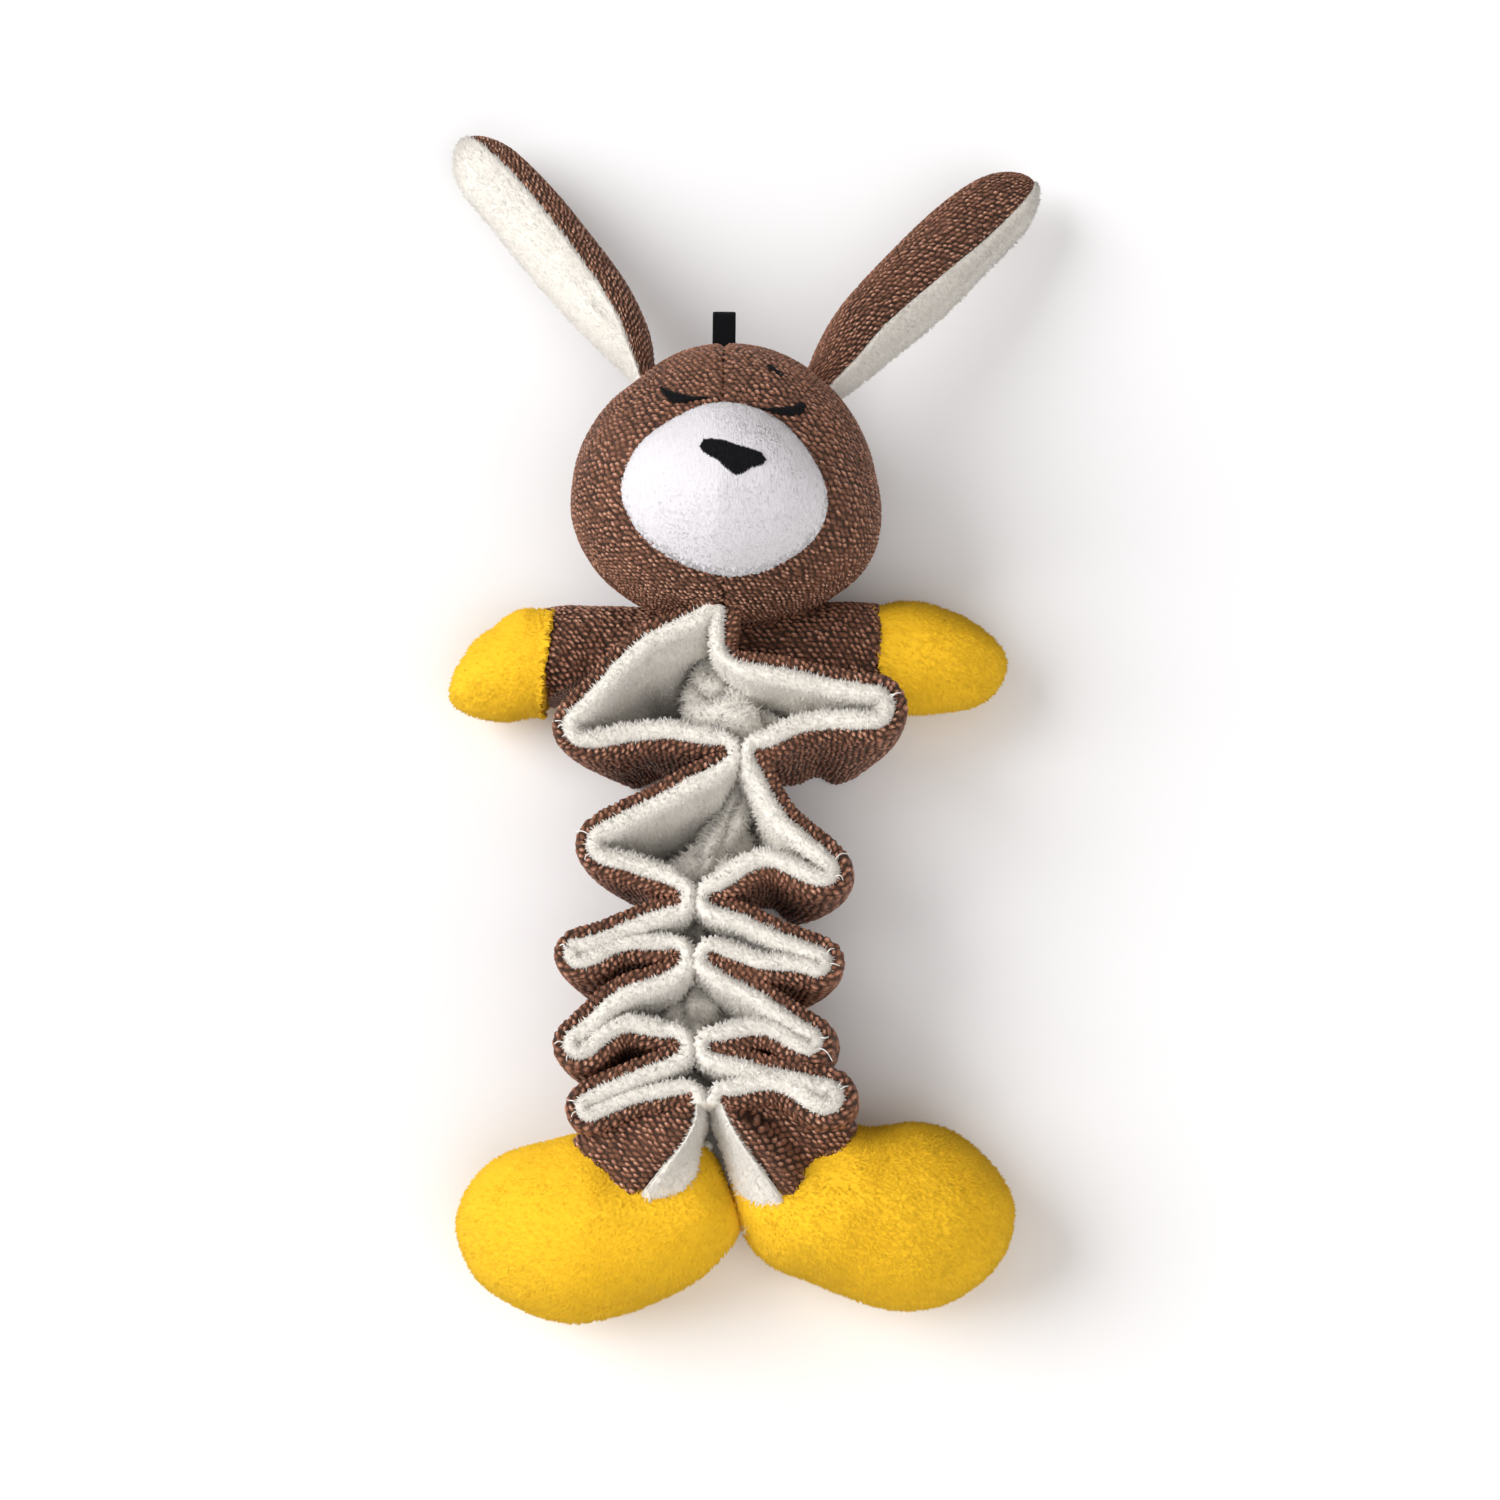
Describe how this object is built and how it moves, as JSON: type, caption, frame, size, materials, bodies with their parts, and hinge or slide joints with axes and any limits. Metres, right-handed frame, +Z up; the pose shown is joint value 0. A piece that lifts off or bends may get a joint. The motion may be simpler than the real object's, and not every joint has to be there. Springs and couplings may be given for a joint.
{
  "type": "plush dog toy",
  "caption": "Squeaky plush rabbit dog toy with long ears, soft hands and feet, and a stretchy concertina body of folded knit and plush bands.",
  "frame": {"origin": "middle of the toy's box in plan, on the surface that it lies on", "axes": "+Y along the toy from the feet to the ears, +X to its right as seen from above, +Z up out of its face"},
  "size_m": [0.2144, 0.4448, 0.1055],
  "materials": {
    "knit": "coarse brown boucle knit",
    "plush": "short cream pile",
    "white_plush": "short white pile",
    "yellow_plush": "short yellow pile",
    "black_thread": "satin stitch embroidery",
    "webbing": "ribbed black webbing",
    "filling": "polyester fibre, hidden",
    "vinyl": "soft vinyl, hidden",
    "elastic": "braided elastic"
  },
  "bodies": {
    "head": {"head_panel_left": "knit", "head_panel_right": "knit", "head_back_panel": "knit", "muzzle_panel": "white_plush", "head_stuffing": "filling", "nose_embroidery": "black_thread", "left_eye_embroidery": "black_thread", "right_eye_embroidery": "black_thread", "brow_embroidery": "black_thread", "hang_loop": "webbing", "squeaker_bulb": "vinyl", "squeaker_reed": "vinyl", "left_sleeve": "knit", "right_sleeve": "knit", "left_pleat_1_knit": "knit", "left_pleat_1_plush": "plush", "right_pleat_1_knit": "knit", "right_pleat_1_plush": "plush", "cord_sleeve_1": "plush", "elastic_core": "elastic"},
    "section_1": {"left_pleat_2_knit": "knit", "left_pleat_2_plush": "plush", "right_pleat_2_knit": "knit", "right_pleat_2_plush": "plush", "cord_sleeve_2": "plush"},
    "section_2": {"left_pleat_3_knit": "knit", "left_pleat_3_plush": "plush", "right_pleat_3_knit": "knit", "right_pleat_3_plush": "plush", "cord_sleeve_3": "plush"},
    "section_3": {"left_pleat_4_knit": "knit", "left_pleat_4_plush": "plush", "right_pleat_4_knit": "knit", "right_pleat_4_plush": "plush", "cord_sleeve_4": "plush"},
    "section_4": {"left_pleat_5_knit": "knit", "left_pleat_5_plush": "plush", "right_pleat_5_knit": "knit", "right_pleat_5_plush": "plush", "cord_sleeve_5": "plush"},
    "section_5": {"elastic_knot": "elastic"},
    "left_ear": {"left_ear_back_panel": "knit", "left_ear_lining": "plush"},
    "left_arm": {"left_hand": "yellow_plush"},
    "left_leg": {"left_leg_knit": "knit", "left_leg_plush": "plush", "left_foot_upper": "yellow_plush", "left_foot_sole": "yellow_plush"},
    "right_ear": {"right_ear_back_panel": "knit", "right_ear_lining": "plush"},
    "right_arm": {"right_hand": "yellow_plush"},
    "right_leg": {"right_leg_knit": "knit", "right_leg_plush": "plush", "right_foot_upper": "yellow_plush", "right_foot_sole": "yellow_plush"}
  },
  "joints": [
    {"name": "stretch_1", "type": "slide", "parent": "head", "child": "section_1", "axis": [0, -1, 0], "range_m": [0, 0.012], "stiffness_N_per_m": 300, "deforming": ["left_pleat_1_knit", "left_pleat_1_plush", "right_pleat_1_knit", "right_pleat_1_plush", "cord_sleeve_1", "elastic_core"]},
    {"name": "stretch_2", "type": "slide", "parent": "section_1", "child": "section_2", "axis": [0, -1, 0], "range_m": [0, 0.014], "stiffness_N_per_m": 300, "deforming": ["left_pleat_2_knit", "left_pleat_2_plush", "right_pleat_2_knit", "right_pleat_2_plush", "cord_sleeve_2"]},
    {"name": "stretch_3", "type": "slide", "parent": "section_2", "child": "section_3", "axis": [0, -1, 0], "range_m": [0, 0.04], "stiffness_N_per_m": 300, "deforming": ["left_pleat_3_knit", "left_pleat_3_plush", "right_pleat_3_knit", "right_pleat_3_plush", "cord_sleeve_3"]},
    {"name": "stretch_4", "type": "slide", "parent": "section_3", "child": "section_4", "axis": [0, -1, 0], "range_m": [0, 0.032], "stiffness_N_per_m": 300, "deforming": ["left_pleat_4_knit", "left_pleat_4_plush", "right_pleat_4_knit", "right_pleat_4_plush", "cord_sleeve_4"]},
    {"name": "stretch_5", "type": "slide", "parent": "section_4", "child": "section_5", "axis": [0, -1, 0], "range_m": [0, 0.042], "stiffness_N_per_m": 300, "deforming": ["left_pleat_5_knit", "left_pleat_5_plush", "right_pleat_5_knit", "right_pleat_5_plush", "cord_sleeve_5"]},
    {"name": "left_ear_fold", "type": "hinge", "parent": "head", "child": "left_ear", "pos_m": [-0.03484, 0.13583, 0.06152], "axis": [0.7835, 0.6214, 0], "range_deg": [0, 60], "stiffness_Nm_per_rad": 0.05},
    {"name": "right_ear_fold", "type": "hinge", "parent": "head", "child": "right_ear", "pos_m": [0.03242, 0.13347, 0.06152], "axis": [0.7043, -0.7099, 0], "range_deg": [0, 60], "stiffness_Nm_per_rad": 0.05},
    {"name": "left_arm_fold", "type": "hinge", "parent": "head", "child": "left_arm", "pos_m": [-0.07064, 0.02401, 0.0375], "axis": [0, 1, 0], "range_deg": [0, 70], "stiffness_Nm_per_rad": 0.03, "deforming": ["left_sleeve"]},
    {"name": "right_arm_fold", "type": "hinge", "parent": "head", "child": "right_arm", "pos_m": [0.05136, 0.02593, 0.0375], "axis": [0, -1, 0], "range_deg": [0, 70], "stiffness_Nm_per_rad": 0.03, "deforming": ["right_sleeve"]},
    {"name": "left_leg_swing", "type": "hinge", "parent": "section_5", "child": "left_leg", "pos_m": [-0.0109, -0.14391, 0.061], "axis": [-1, 0, 0], "range_deg": [0, 70], "stiffness_Nm_per_rad": 0.05, "deforming": ["left_leg_knit", "left_leg_plush"]},
    {"name": "right_leg_swing", "type": "hinge", "parent": "section_5", "child": "right_leg", "pos_m": [-0.0109, -0.14391, 0.061], "axis": [-1, 0, 0], "range_deg": [0, 70], "stiffness_Nm_per_rad": 0.05, "deforming": ["right_leg_knit", "right_leg_plush"]}
  ],
  "couplings": [
    {"joint": "stretch_2", "follows": "stretch_1", "ratio": 1.1667},
    {"joint": "stretch_3", "follows": "stretch_1", "ratio": 3.3333},
    {"joint": "stretch_4", "follows": "stretch_1", "ratio": 2.6667},
    {"joint": "stretch_5", "follows": "stretch_1", "ratio": 3.5}
  ]
}
